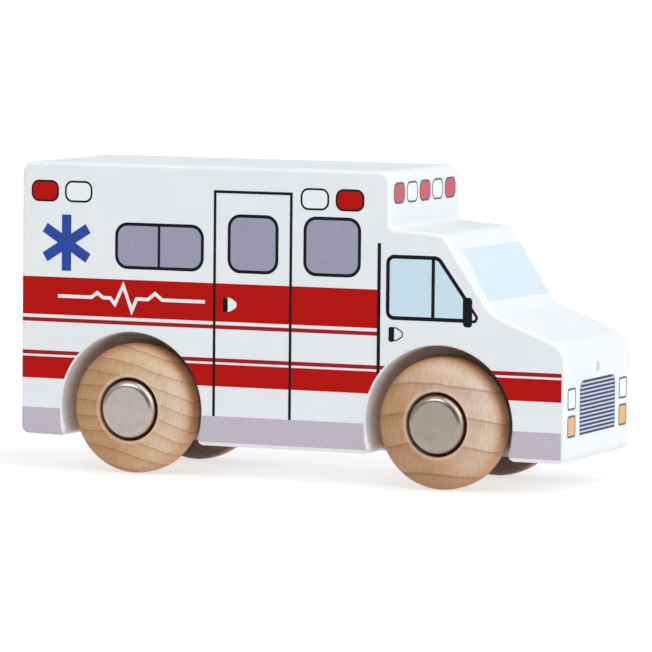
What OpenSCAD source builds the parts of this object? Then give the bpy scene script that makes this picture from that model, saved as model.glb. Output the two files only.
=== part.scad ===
// Toy ambulance: a painted wood block with a tall box, a cab and a sloping bonnet, on four turned
// wooden wheels. Each pair of wheels turns on a steel rod that runs through the block, and a cap
// pushed onto each end of the rod holds the wheel on.
// +X is the front, +Y is the left side and the floor is the plane z = 0. Sizes are in millimetres.

/* [Block] */

// Length from the rear face to the front face
body_length = 134.9; // [130:0.1:150]
// Width across the two flat sides
body_width = 42.5; // [40:0.5:60]
// Height of the box's roof above the floor
roof_height = 71.4; // [66:0.1:90]
// Height of the underside above the floor
underside_height = 7.4; // [5:0.1:10]
// Rise of the underside from the rear axle to the rear face
rear_rise = 0.8; // [0.1:0.1:2]
// Length of the box from the rear face to its front wall
box_length = 92.3; // [86:0.1:96]
// Height of the cab roof above the floor where it meets the box
cab_height = 58.6; // [55:0.1:62]
// Length of the cab roof
cab_roof_length = 13; // [9:0.1:16]
// Fall of the cab roof from the box to the windscreen
cab_roof_fall = 0.9; // [0:0.1:3]
// Length that the windscreen covers, seen from above
windscreen_run = 11.5; // [6:0.1:14]
// Height of the bonnet above the floor at the foot of the windscreen
bonnet_height = 40.4; // [38:0.1:46]
// Height of the bonnet's front end above the floor
nose_height = 33.2; // [29:0.1:36]

/* [Rounding] */

// Radius of the box's corners, seen from the side
box_corner = 3; // [1.5:0.1:4]
// Radius where the cab roof turns down into the windscreen
cab_corner = 3; // [1.5:0.1:6]
// Radius where the bonnet turns down into the front face
nose_corner = 5; // [2:0.1:8]
// Radius of the hollow at the foot of the windscreen
windscreen_hollow = 8; // [2:0.5:14]
// Radius of the inner corner between the cab roof and the box
step_corner = 1.2; // [0.3:0.1:3]
// Radius of the block's lower corners, seen from the side
lower_corner = 1.8; // [1.5:0.1:4]
// Radius along the edges of the two sides
side_edge = 0.9; // [0.6:0.1:1.4]
// Radius around the mouth of each wheel arch
arch_lip = 0.5; // [0.3:0.1:1.4]

/* [Wheels] */

// Diameter of a wheel over its tread
wheel_diameter = 30; // [26:0.5:34]
// Width of a wheel between its faces
wheel_width = 10.8; // [9:0.1:13]
// Radius of a wheel's rounded edges
wheel_edge = 4.3; // [1:0.1:4.4]
// Distance between the front and rear axles
wheel_base = 76.3; // [72:0.1:79]
// Distance from the rear face to the rear axle
rear_overhang = 28.25; // [25:0.05:32]
// How far a wheel's outer face stands out of the block's side
wheel_proud = 1.3; // [0:0.1:3]
// Gap between a wheel's tread and its arch
arch_gap = 2.7; // [1:0.1:3.5]
// Height of the boss on a wheel's inner face
boss_height = 0.5; // [0.3:0.1:1.5]
// Width of the flat ring of the boss around the bore
boss_ring = 4.5; // [2:0.1:6]
// Gap between the boss and the back of the arch
boss_gap = 0.25; // [0.1:0.05:0.6]
// Depth of the recess around the cap
recess_depth = 4.2; // [3:0.1:5.5]
// Radius of the recess's outer rim
recess_rim = 0.5; // [0.2:0.1:1]

/* [Axles and caps] */

// Diameter of the axle rod
axle_diameter = 5; // [4:0.1:6]
// Radial clearance of the rod in the block and in the wheels
running_clearance = 0.08; // [0.03:0.01:0.1]
// Chamfer on the ends of the rod
axle_chamfer = 0.4; // [0.2:0.1:0.8]
// Gap between the rod's end and the inside of the cap
axle_end_gap = 0.4; // [0.2:0.1:1]
// Outer diameter of a cap
cap_diameter = 13.7; // [11:0.1:15]
// Height of a cap
cap_height = 4.8; // [4:0.1:6]
// Radius of a cap's rounded shoulder
cap_shoulder = 1.7; // [0.8:0.1:2.2]
// Thickness of the cap's sheet metal
cap_sheet = 0.45; // [0.3:0.05:0.6]
// Width of the lip that is rolled in at the cap's foot
cap_lip = 0.6; // [0.3:0.1:1]
// Gap between the cap's foot and the floor of the recess
cap_gap = 0.25; // [0.1:0.05:0.5]
// Gap between the cap and the wall of the recess
recess_gap = 0.45; // [0.3:0.05:1.2]
// Thickness of the spring nut inside the cap
nut_sheet = 0.5; // [0.3:0.05:0.7]
// Gap between the spring nut and the cap's wall
nut_gap = 0.05; // [0.02:0.01:0.1]
// Height to which the nut's teeth are bent up
tooth_rise = 0.7; // [0.3:0.1:1]
// Length of the nut's teeth, seen along the axle
tooth_length = 1.6; // [1:0.1:2]
// Width of the slots between the nut's teeth
tooth_slot = 0.7; // [0.4:0.1:1]
// Number of teeth on the nut
tooth_count = 6; // [4:1:8]

/* [Hidden] */

$fn = 96;

// Largest step of an arc in the block's outline, in degrees
arc_step = 7.5;
// Steps in the rounding along each edge of the sides
edge_steps = 6;
// Overlap that makes a cut run clean through a face
cut = 1;

// Block's outline, seen from the right
rear_x = -body_length / 2;
front_x = body_length / 2;
box_front_x = rear_x + box_length;
cab_front_x = box_front_x + cab_roof_length;
bonnet_x = cab_front_x + windscreen_run;

// Axles
axle_height = wheel_diameter / 2;
axle_radius = axle_diameter / 2;
bore_radius = axle_radius + running_clearance;
rear_axle_x = rear_x + rear_overhang;
front_axle_x = rear_axle_x + wheel_base;

// Distances from the middle of the block along an axle
side_face = body_width / 2;
wheel_outer = side_face + wheel_proud;
wheel_inner = wheel_outer - wheel_width;
arch_floor = wheel_inner - boss_height - boss_gap;
recess_floor = wheel_outer - recess_depth;
cap_foot = recess_floor + cap_gap;
cap_top = cap_foot + cap_height;
nut_seat = cap_foot + cap_sheet;
axle_end = cap_top - cap_sheet - axle_end_gap;

// Radii around an axle
wheel_radius = wheel_diameter / 2;
arch_radius = wheel_radius + arch_gap;
boss_radius = bore_radius + boss_ring;
cap_radius = cap_diameter / 2;
cap_inside = cap_radius - cap_sheet;
recess_radius = cap_radius + recess_gap;
nut_radius = cap_inside - nut_gap;
tooth_root = axle_radius + tooth_length;

// The corners of the outline, each with its radius, in order around the block from the rear axle
outline_corners = [
    [[rear_axle_x, underside_height], lower_corner],
    [[front_x, underside_height], lower_corner],
    [[front_x, nose_height], nose_corner],
    [[bonnet_x, bonnet_height], windscreen_hollow],
    [[cab_front_x, cab_height - cab_roof_fall], cab_corner],
    [[box_front_x, cab_height], step_corner],
    [[box_front_x, roof_height], box_corner],
    [[rear_x, roof_height], box_corner],
    [[rear_x, underside_height + rear_rise], lower_corner],
];

function unit(v) = v / norm(v);
function turned(v, angle) = [v.x * cos(angle) - v.y * sin(angle), v.x * sin(angle) + v.y * cos(angle)];

// Points along the arc that rounds a corner between its two neighbours, moved into the block by inset
function rounded(before, corner, after, radius, inset) =
    let (
        back = unit(before - corner),
        ahead = unit(after - corner),
        half_angle = acos(back * ahead) / 2,
        bulge = sign(cross(ahead, back)),
        centre = corner + unit(back + ahead) * radius / sin(half_angle),
        first = unit(corner + back * radius / tan(half_angle) - centre),
        sweep = (180 - 2 * half_angle) * bulge,
        steps = ceil(abs(sweep) / arc_step)
    )
    [for (i = [0 : steps]) centre + (radius - bulge * inset) * turned(first, sweep * i / steps)];

// The block's whole outline, moved in by inset
function outline(inset) =
    let (count = len(outline_corners))
    [
        for (i = [0 : count - 1])
            each rounded(
                outline_corners[(i + count - 1) % count][0],
                outline_corners[i][0],
                outline_corners[(i + 1) % count][0],
                outline_corners[i][1],
                inset
            )
    ];

// The slices of the block from right to left, each with its inset and its distance from the middle
slices = [
    for (side = [-1, 1], i = [0 : edge_steps])
        let (angle = 90 * (side < 0 ? i : edge_steps - i) / edge_steps)
            [side_edge * (1 - sin(angle)), side * (side_face - side_edge * (1 - cos(angle)))]
];

// Turns a shape that is made along z so that z runs out along an axle, to the left (1) or right (-1)
module on_axle(axle_x, side) {
    translate([axle_x, 0, axle_height])
        rotate([-90 * side, 0, 0])
            children();
}

// The block before it is cut: slices of the outline, joined edge to edge, with a flat face on each side
module uncut_block() {
    slice_size = len(outline(0));
    last_slice = len(slices) - 1;
    polyhedron(
        points = [
            for (slice = slices)
                for (point = outline(slice[0]))
                    [point.x, slice[1], point.y]
        ],
        faces = [
            [for (i = [slice_size - 1 : -1 : 0]) i],
            [for (i = [0 : slice_size - 1]) last_slice * slice_size + i],
            for (slice = [0 : last_slice - 1], i = [0 : slice_size - 1])
                let (here = slice * slice_size, next = (i + 1) % slice_size)
                    [here + i, here + next, here + slice_size + next, here + slice_size + i],
        ]
    );
}

// Wheel arch, cut into one side, with its mouth eased by a rounded lip
module arch(axle_x, side) {
    on_axle(axle_x, side)
        rotate_extrude() {
            translate([0, arch_floor])
                square([arch_radius, side_face - arch_floor + cut]);
            difference() {
                translate([0, side_face - arch_lip])
                    square([arch_radius + arch_lip, arch_lip + cut]);
                translate([arch_radius + arch_lip, side_face - arch_lip])
                    circle(arch_lip);
            }
        }
}

// Hole for an axle, right through the block between two arches
module axle_hole(axle_x) {
    on_axle(axle_x, 1)
        cylinder(r = bore_radius, h = body_width, center = true);
}

// The wooden block: its outline with rounded side edges, less the arches and the axle holes
module body_block() {
    color("whitesmoke")
        difference() {
            uncut_block();
            for (axle_x = [rear_axle_x, front_axle_x]) {
                axle_hole(axle_x);
                for (side = [-1, 1])
                    arch(axle_x, side);
            }
        }
}

// Steel rod with chamfered ends, from cap to cap
module axle(axle_x) {
    color("silver")
        on_axle(axle_x, 1)
            rotate_extrude()
                polygon([
                    [0, -axle_end],
                    [axle_radius - axle_chamfer, -axle_end],
                    [axle_radius, -axle_end + axle_chamfer],
                    [axle_radius, axle_end - axle_chamfer],
                    [axle_radius - axle_chamfer, axle_end],
                    [0, axle_end],
                ]);
}

// Half of the section of a turned disc, with both edges of its rim rounded
module disc_section(radius, low, high, edge) {
    translate([0, low])
        square([radius - edge, high - low]);
    translate([0, low + edge])
        square([radius, high - low - 2 * edge]);
    for (height = [low + edge, high - edge])
        translate([radius - edge, height])
            circle(edge);
}

// Turned wheel with rounded edges, a boss on the inside and a recess for the cap on the outside
module wheel(axle_x, side) {
    color("burlywood")
        on_axle(axle_x, side)
            rotate_extrude()
                difference() {
                    union() {
                        disc_section(wheel_radius, wheel_inner, wheel_outer, wheel_edge);
                        translate([0, wheel_inner - boss_height])
                            square([boss_radius, 2 * boss_height]);
                    }
                    translate([0, wheel_inner - boss_height - cut])
                        square([bore_radius, wheel_width + boss_height + 2 * cut]);
                    translate([0, recess_floor])
                        square([recess_radius, recess_depth + cut]);
                    difference() {
                        translate([0, wheel_outer - recess_rim])
                            square([recess_radius + recess_rim, recess_rim + cut]);
                        translate([recess_radius + recess_rim, wheel_outer - recess_rim])
                            circle(recess_rim);
                    }
                }
}

// Half of a cap's outer or inner shape, square at the foot and rounded at the top
module cap_section(radius, height, shoulder) {
    square([radius - shoulder, height]);
    square([radius, height - shoulder]);
    translate([radius - shoulder, height - shoulder])
        circle(shoulder);
}

// Pressed cap with a rounded shoulder, and a lip rolled in under the spring nut
module cap(axle_x, side) {
    color("lightgray")
        on_axle(axle_x, side)
            rotate_extrude()
                difference() {
                    translate([0, cap_foot])
                        cap_section(cap_radius, cap_height, cap_shoulder);
                    translate([0, cap_foot + cap_sheet])
                        cap_section(cap_inside, cap_height - 2 * cap_sheet, cap_shoulder - cap_sheet);
                    translate([0, cap_foot - cut])
                        square([cap_inside - cap_lip, 2 * cut]);
                }
}

// Spring nut: a flat ring on the cap's lip, with teeth bent up to grip the rod
module spring_nut(axle_x, side) {
    color("gray")
        on_axle(axle_x, side)
            translate([0, 0, nut_seat])
                difference() {
                    rotate_extrude()
                        polygon([
                            [axle_radius, tooth_rise],
                            [tooth_root, 0],
                            [nut_radius, 0],
                            [nut_radius, nut_sheet],
                            [tooth_root, nut_sheet],
                            [axle_radius, tooth_rise + nut_sheet],
                        ]);
                    for (i = [0 : tooth_count - 1])
                        rotate(360 * i / tooth_count)
                            translate([0, -tooth_slot / 2, -cut])
                                cube([tooth_root, tooth_slot, tooth_rise + nut_sheet + 2 * cut]);
                }
}

body_block();
axle(front_axle_x);  // front_axle
axle(rear_axle_x);  // rear_axle
wheel(front_axle_x, 1);  // front_left_wheel
wheel(front_axle_x, -1);  // front_right_wheel
wheel(rear_axle_x, 1);  // rear_left_wheel
wheel(rear_axle_x, -1);  // rear_right_wheel
cap(front_axle_x, 1);  // front_left_cap
cap(front_axle_x, -1);  // front_right_cap
cap(rear_axle_x, 1);  // rear_left_cap
cap(rear_axle_x, -1);  // rear_right_cap
spring_nut(front_axle_x, 1);  // front_left_spring_nut
spring_nut(front_axle_x, -1);  // front_right_spring_nut
spring_nut(rear_axle_x, 1);  // rear_left_spring_nut
spring_nut(rear_axle_x, -1);  // rear_right_spring_nut
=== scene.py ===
# Toy ambulance: a painted and printed wood block on four turned beech wheels with pressed metal caps.
# +X is the front, +Y is the left side and z = 0 is the floor.
# Sizes and places are in millimetres, and each finished piece is scaled to metres.
import math

import bmesh
import bpy
from mathutils import Matrix, Vector
from mathutils.geometry import intersect_line_sphere_2d


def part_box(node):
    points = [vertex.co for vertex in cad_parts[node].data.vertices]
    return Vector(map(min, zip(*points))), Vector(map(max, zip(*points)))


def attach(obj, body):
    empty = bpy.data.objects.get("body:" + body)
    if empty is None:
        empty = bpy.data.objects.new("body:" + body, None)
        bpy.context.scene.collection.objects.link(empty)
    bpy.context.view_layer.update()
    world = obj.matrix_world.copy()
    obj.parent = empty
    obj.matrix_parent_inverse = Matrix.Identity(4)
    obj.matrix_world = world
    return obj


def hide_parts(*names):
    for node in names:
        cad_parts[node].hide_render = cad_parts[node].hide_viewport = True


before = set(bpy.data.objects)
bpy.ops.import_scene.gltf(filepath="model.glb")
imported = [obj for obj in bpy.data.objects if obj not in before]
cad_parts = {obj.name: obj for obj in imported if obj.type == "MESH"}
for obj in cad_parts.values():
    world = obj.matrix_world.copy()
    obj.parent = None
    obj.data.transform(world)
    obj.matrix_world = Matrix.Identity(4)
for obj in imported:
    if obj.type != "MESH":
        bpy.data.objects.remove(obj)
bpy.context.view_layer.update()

MM = 0.001
RIGHT, LEFT = -1, 1
SIDE_NAMES = {RIGHT: "right", LEFT: "left"}
QUARTER_TURN = math.radians(90)
# Distance below which two places count as one, and the slack of a cut's plane
SAME_PLACE = 0.001
CUT_SLACK = 0.000001


def span(node):
    """Lowest and highest corner of a solid of the frame, in millimetres."""
    low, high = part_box(node)
    return low / MM, high / MM


# Sizes that the frame gives
block_low, block_high = span("body_block")
wheel_low, wheel_high = span("front_left_wheel")
cap_low, cap_high = span("front_left_cap")
axle_low, axle_high = span("front_axle")
REAR_X, FRONT_X = block_low.x, block_high.x
SIDE_Y = block_high.y
UNDERSIDE_Z, ROOF_Z = block_low.z, block_high.z
WHEEL_RADIUS = (wheel_high.z - wheel_low.z) / 2
AXLE_Z = (wheel_high.z + wheel_low.z) / 2
WHEEL_OUTER, BOSS_FACE = wheel_high.y, wheel_low.y
CAP_RADIUS = (cap_high.z - cap_low.z) / 2
CAP_FOOT, CAP_TOP = cap_low.y, cap_high.y
AXLE_RADIUS = (axle_high.z - axle_low.z) / 2
AXLE_X = {end: sum(corner.x for corner in span(end + "_axle")) / 2 for end in ("front", "rear")}

# Film of one layer of print, and the depth to which it is keyed into the paint
PRINT_FILM = 0.03
PRINT_KEY = 0.02
# Layers of print on the front and rear faces, which the paint there leaves room for
FACE_LAYERS = 2

# The block's outline, seen from the right
BOX_LENGTH = 92.3
CAB_ROOF_LENGTH = 13
CAB_ROOF_FALL = 0.9
WINDSCREEN_RUN = 11.5
NOSE_X = FRONT_X - FACE_LAYERS * PRINT_FILM
TAIL_X = REAR_X + FACE_LAYERS * PRINT_FILM
BOX_FRONT_X = REAR_X + BOX_LENGTH
CAB_FRONT_X = BOX_FRONT_X + CAB_ROOF_LENGTH
BONNET_X = CAB_FRONT_X + WINDSCREEN_RUN
CAB_Z = 58.6
CAB_FRONT_Z = CAB_Z - CAB_ROOF_FALL
BONNET_Z = 40.4
NOSE_Z = 33.2
REAR_RISE = 0.8
BOX_CORNER = 3
CAB_CORNER = 3
NOSE_CORNER = 5
WINDSCREEN_HOLLOW = 8
STEP_CORNER = 1.2
LOWER_CORNER = 1.8
SIDE_EDGE = 0.9
ROUND_STEP = math.radians(9)
EDGE_STEPS = 8

# Wheel arches
ARCH_GAP = 2.7
ARCH_RADIUS = WHEEL_RADIUS + ARCH_GAP
BOSS_PLAY = 0.25
ARCH_FLOOR = BOSS_FACE - BOSS_PLAY
ARCH_CORNER = 1.6
ARCH_LIP = 0.5
# Heights between which an arch's rounded edge narrows to its lip
LIP_RISE = (9.6, 13)
ARCH_RUN = math.radians(9)
ARCH_STEPS = 72
ROD_CLEARANCE = 0.08
BORE_RADIUS = AXLE_RADIUS + ROD_CLEARANCE
BORE_STEPS = 48

# Wheels and caps
TURN_STEPS = 144
WHEEL_WIDTH = 10.8
WHEEL_INNER = WHEEL_OUTER - WHEEL_WIDTH
WHEEL_EDGE = 4.3
BOSS_WALL = 4.5
BOSS_RADIUS = BORE_RADIUS + BOSS_WALL
BOSS_EDGE = 0.2
RECESS_GAP = 0.45
RECESS_RADIUS = CAP_RADIUS + RECESS_GAP
RECESS_DEPTH = 4.2
RECESS_FLOOR = WHEEL_OUTER - RECESS_DEPTH
RECESS_RIM = 0.5
RECESS_CORNER = 0.3
CAP_SHOULDER = 1.7
CAP_SHEET = 0.45
CAP_LIP = 0.6
CAP_BEND = 0.1
CAP_FOOT_EDGE = 0.3
# A turned face that looks along the axle, to within this cosine, is shaded flat
ALONG_AXLE = 0.999

# Areas from which a face of the block, or of a band of print on it, is shaded flat
FLAT_AREA = 60
BAND_FLAT_AREA = 3

# Heights of the print along the sides, and its reach to the front
MAIN_BAND = (36.05, 44.77)
UPPER_LINE = (34.36, 35.25)
LOWER_LINE = (26.74, 27.64)
LOWER_BAND = (21.2, 26.22)
SILL = (8.3, 14.32)
FRONT_MARGIN = 0.95
PRINT_FRONT_X = FRONT_X - FRONT_MARGIN
CAB_LINE_X = 22.38
CAB_LINE_TOP = 55.28
CAB_LINE_WIDTH = 0.78
# Print on the faces that look forwards sits this far off their middle
FRONT_PRINT_Y = -0.4


# Making of finishes, where a finish is a material or the studio's surround

def new_finish(name):
    """A material and its shader."""
    finish = bpy.data.materials.new(name)
    finish.use_nodes = True
    return finish, finish.node_tree.nodes["Principled BSDF"]


def plug_in(finish, node, key, value):
    """Sets one input of a node, or links it. A colour is given as red, green and blue."""
    socket = node.inputs[key]
    if isinstance(value, bpy.types.NodeSocket):
        finish.node_tree.links.new(value, socket)
    elif socket.type == "RGBA":
        socket.default_value = (*value, 1)
    else:
        socket.default_value = value


def add_node(finish, kind, settings=None, **inputs):
    """A node with its settings and its inputs, where an input is a value or another node's output."""
    node = finish.node_tree.nodes.new("ShaderNode" + kind)
    for name, value in (settings or {}).items():
        setattr(node, name, value)
    for name, value in inputs.items():
        plug_in(finish, node, name.replace("_", " "), value)
    return node


def moved(finish, place, offset=(0, 0, 0), turn=(0, 0, 0), stretch=(1, 1, 1)):
    """A place that is stretched, turned and then moved by an offset."""
    mapping = add_node(finish, "Mapping", Vector=place, Location=offset, Rotation=turn, Scale=stretch)
    return mapping.outputs["Vector"]


def object_place(finish, **changes):
    """Object coordinates, moved, turned or stretched."""
    return moved(finish, add_node(finish, "TexCoord").outputs["Object"], **changes)


def worked_out(finish, operation, *values, kind="Math"):
    """The number that a sum gives, on numbers or, with the kind VectorMath, on places."""
    node = add_node(finish, kind, {"operation": operation})
    for key, value in enumerate(values):
        plug_in(finish, node, key, value)
    return node.outputs["Value"]


def off_middle(finish, place):
    """How far a place is from the toy's middle, out to either side."""
    return worked_out(finish, "ABSOLUTE", add_node(finish, "SeparateXYZ", Vector=place).outputs["Y"])


def share_between(finish, distance, start, end, way="LINEAR"):
    """0 to 1 between two distances in millimetres."""
    mapped = add_node(finish, "MapRange", {"interpolation_type": way}, Value=distance)
    plug_in(finish, mapped, "From Min", start * MM)
    plug_in(finish, mapped, "From Max", end * MM)
    return mapped.outputs["Result"]


def ranged(finish, factor, low, high):
    """A factor from 0 to 1, mapped onto a range."""
    return add_node(finish, "MapRange", Value=factor, To_Min=low, To_Max=high).outputs["Result"]


def mottle(finish, place, grain, detail=3.0, roughness=0.55):
    """Noise whose patches are about one grain across, in millimetres."""
    scale = 1 / (grain * MM)
    noise = add_node(finish, "TexNoise", Vector=place, Scale=scale, Detail=detail, Roughness=roughness)
    return noise.outputs["Fac"]


def graded(finish, factor, stops):
    """A colour ramp of (position, colour) stops."""
    ramp = add_node(finish, "ValToRGB", Fac=factor)
    elements = ramp.color_ramp.elements
    while len(elements) < len(stops):
        elements.new(1)
    for element, (position, colour) in zip(elements, stops):
        element.position = position
        element.color = (*colour, 1)
    return ramp.outputs["Color"]


# Where soft noise turns from its darker to its lighter patches
PATCH_START, PATCH_END = 0.3, 0.7


def patched(finish, noise, shade, light):
    """Two tones in the soft patches of a noise."""
    return graded(finish, noise, ((PATCH_START, shade), (PATCH_END, light)))


# Numbers of the sockets that a mix of colours uses: its factor, its two colours and its result
MIX_INPUTS = (0, 6, 7)
MIX_RESULT = 2


def blended(finish, factor, first, second, mode="MIX"):
    """Two colours, mixed by a factor."""
    mix = add_node(finish, "Mix", {"data_type": "RGBA", "blend_type": mode})
    for key, value in zip(MIX_INPUTS, (factor, first, second)):
        plug_in(finish, mix, key, value)
    return mix.outputs[MIX_RESULT]


def raised(finish, shader, height, depth, below=None):
    """Bump of that depth in millimetres, over an earlier bump."""
    bump = add_node(finish, "Bump", Height=height, Distance=depth * MM, Strength=1.0)
    if below:
        plug_in(finish, bump, "Normal", below)
    plug_in(finish, shader, "Normal", bump.outputs["Normal"])
    return bump.outputs["Normal"]


def satin(finish, shader, patches, roughness, gloss):
    """Roughness that varies with a noise between two values, under a gloss of one strength."""
    plug_in(finish, shader, "Roughness", ranged(finish, patches, *roughness))
    plug_in(finish, shader, "Specular IOR Level", gloss)


# Paint and ink

WHITE = (1, 1, 1)
BLACK = (0, 0, 0)
# How far the wood's grain is drawn out along the block, on its faces and inside the arches
FACE_GRAIN = (0.06, 1, 1)
ARCH_GRAIN = (0.08, 1, 1)
PAINT_SHADE, PAINT_LIGHT = (0.70, 0.727, 0.752), (0.73, 0.757, 0.782)
# Lighter paint on the eased edges: partly rubbed paint, partly a painted highlight where the rounding catches
# light
RUBBED_AND_HIGHLIT_PAINT = (0.79, 0.79, 0.78)
RUB_AND_HIGHLIGHT_SHARE = 0.55
MIST_SHADE, MIST_LIGHT = (0.68, 0.70, 0.725), (0.73, 0.75, 0.775)
# Bare wood deep in the arches, darkened and greyed as painted shade
ARCH_SHADED_WOOD_DARK, ARCH_SHADED_WOOD_LIGHT = (0.552, 0.402, 0.332), (0.791, 0.604, 0.491)
# How far into an arch the paint starts to thin, and where bare wood, darkened as painted shade, is left
DEEP_FADE_START, DEEP_FADE_END = 1.2, 7.5
DEEP_FADE_PATCHES = (0.8, 1.1)


def white_paint():
    """Satin white paint, a little lighter and warmer on its eased edges, partly rubbed paint and partly a
    painted highlight, with the grain faintly raised.
    """
    finish, shader = new_finish("white_satin_paint")
    place = object_place(finish)
    body = patched(finish, mottle(finish, place, grain=9), PAINT_SHADE, PAINT_LIGHT)
    # Eased edges, by their tilt, get a painted highlight mixed with rubbed paint
    edge_rub_and_highlight = add_node(finish, "Attribute", {"attribute_name": "rubbed_and_highlit_edge"}).outputs["Fac"]
    patches = ranged(finish, mottle(finish, place, grain=2.2), 0, RUB_AND_HIGHLIGHT_SHARE)
    rub_and_highlight = worked_out(finish, "MULTIPLY", edge_rub_and_highlight, patches)
    plug_in(finish, shader, "Base Color", blended(finish, rub_and_highlight, body, RUBBED_AND_HIGHLIT_PAINT))
    satin(finish, shader, mottle(finish, place, grain=4), roughness=(0.36, 0.5), gloss=0.35)
    fibres = mottle(finish, object_place(finish, stretch=FACE_GRAIN), grain=0.6)
    grain = raised(finish, shader, fibres, depth=0.012)
    raised(finish, shader, mottle(finish, place, grain=0.35, detail=2), depth=0.006, below=grain)
    return finish


def arch_paint():
    """The paint inside the arches: white at the mouth, misting off to bare wood further in, which is darkened
    and greyed as painted shade.
    """
    finish, shader = new_finish("arch_overspray_and_shade")
    place = object_place(finish)
    along_grain = object_place(finish, stretch=ARCH_GRAIN)
    wood_and_shade = patched(finish, mottle(finish, along_grain, grain=0.9), ARCH_SHADED_WOOD_DARK, ARCH_SHADED_WOOD_LIGHT)
    paint = patched(finish, mottle(finish, place, grain=5), MIST_SHADE, MIST_LIGHT)
    # Darker and greyer deeper in: partly overspray thinning to bare wood, partly painted shade
    outward = off_middle(finish, place)
    deep_fade = share_between(finish, outward, SIDE_Y - DEEP_FADE_END, SIDE_Y - DEEP_FADE_START, way="SMOOTHSTEP")
    patches = ranged(finish, mottle(finish, place, grain=1.6), *DEEP_FADE_PATCHES)
    paint_over_shade = worked_out(finish, "MULTIPLY", deep_fade, patches)
    plug_in(finish, shader, "Base Color", blended(finish, paint_over_shade, wood_and_shade, paint))
    satin(finish, shader, mottle(finish, place, grain=3), roughness=(0.5, 0.7), gloss=0.25)
    raised(finish, shader, mottle(finish, along_grain, grain=0.5), depth=0.02)
    return finish


# Share by which an ink's specks even out in places
EVEN_SHARE = 0.35


def print_ink(name, colour, grain=0.3, spread=0.05):
    """Screen-printed ink: a little uneven from spot to spot, with the paint's grain showing through."""
    finish, shader = new_finish(name)
    place = object_place(finish)
    specks = mottle(finish, place, grain, detail=1)
    speckled = patched(finish, specks, Vector(colour) * (1 - spread), Vector(colour) * (1 + spread))
    evened = ranged(finish, mottle(finish, place, grain=7), 0, EVEN_SHARE)
    plug_in(finish, shader, "Base Color", blended(finish, evened, speckled, colour))
    satin(finish, shader, mottle(finish, place, grain=3), roughness=(0.42, 0.55), gloss=0.06)
    fibres = mottle(finish, object_place(finish, stretch=FACE_GRAIN), grain=0.6)
    ridges = raised(finish, shader, fibres, depth=0.01)
    raised(finish, shader, mottle(finish, place, grain=0.25, detail=1), depth=0.004, below=ridges)
    return finish


# Beech

# Tones over one year's growth, which each wheel tints
YEAR_TONES = (
    (0, (0.67, 0.56, 0.5)), (0.5, (0.65, 0.53, 0.465)), (0.88, (0.59, 0.45, 0.37)),
    (0.95, (0.45, 0.305, 0.225)), (1, (0.66, 0.55, 0.49)),
)
# Marks of the rays, the pores and the blush, and how strongly each one shows
RAY_MARKS = ((0.5, WHITE), (0.68, (0.76, 0.69, 0.61))), 0.6
PORE_MARKS = ((0.3, (0.9, 0.87, 0.83)), (0.6, WHITE)), 0.5
BLUSH_MARKS = ((0.3, (0.92, 0.87, 0.74)), (0.7, WHITE)), 0.9
# Painted shade and light across a wheel's face: darker towards one side, lighter towards its lit side
SHADED_TO_LIT_TONES = (
    (0.3, (0.69, 0.5, 0.325)), (0.47, (0.86, 0.69, 0.52)), (0.75, (1, 0.95, 0.88)), (1, (0.97, 1, 1)),
)
# A pale ring around the recess, by how far it is out from the rim: partly sanded wood, partly a painted
# highlight on the rim's rounding
SANDED_RING_AND_HIGHLIGHT = ((0.2, BLACK), (0.4, (0.5, 0.5, 0.5)), (0.75, BLACK))
PALE_RING_REACH = 3 * RECESS_RIM
SANDED_AND_HIGHLIT_WOOD = (0.76, 0.6, 0.49)
# From the outer face over the tread to the inner face: warm orange, then near black, partly burnish and
# mostly painted shade with painted warm bounce light
RIM_BURNISH_AND_SHADE_TONES = (
    (0.06, WHITE), (0.14, (0.97, 0.88, 0.82)), (0.27, (1, 0.68, 0.44)), (0.45, (1, 0.62, 0.4)),
    (0.58, (0.8, 0.54, 0.4)), (0.67, (0.42, 0.29, 0.23)), (0.8, (0.08, 0.053, 0.043)),
)
RIM_PATCHES = (0.8, 1)
# Distance to the tree's heart, how far the growth lines sway, and how the lines and rays run along the trunk
TREE_RADIUS = 70
RING_SWAY = 2.4
RING_STRETCH = (1, 0.04, 1)
RAY_STRETCH = (1, 0.1, 0.09)


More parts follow.
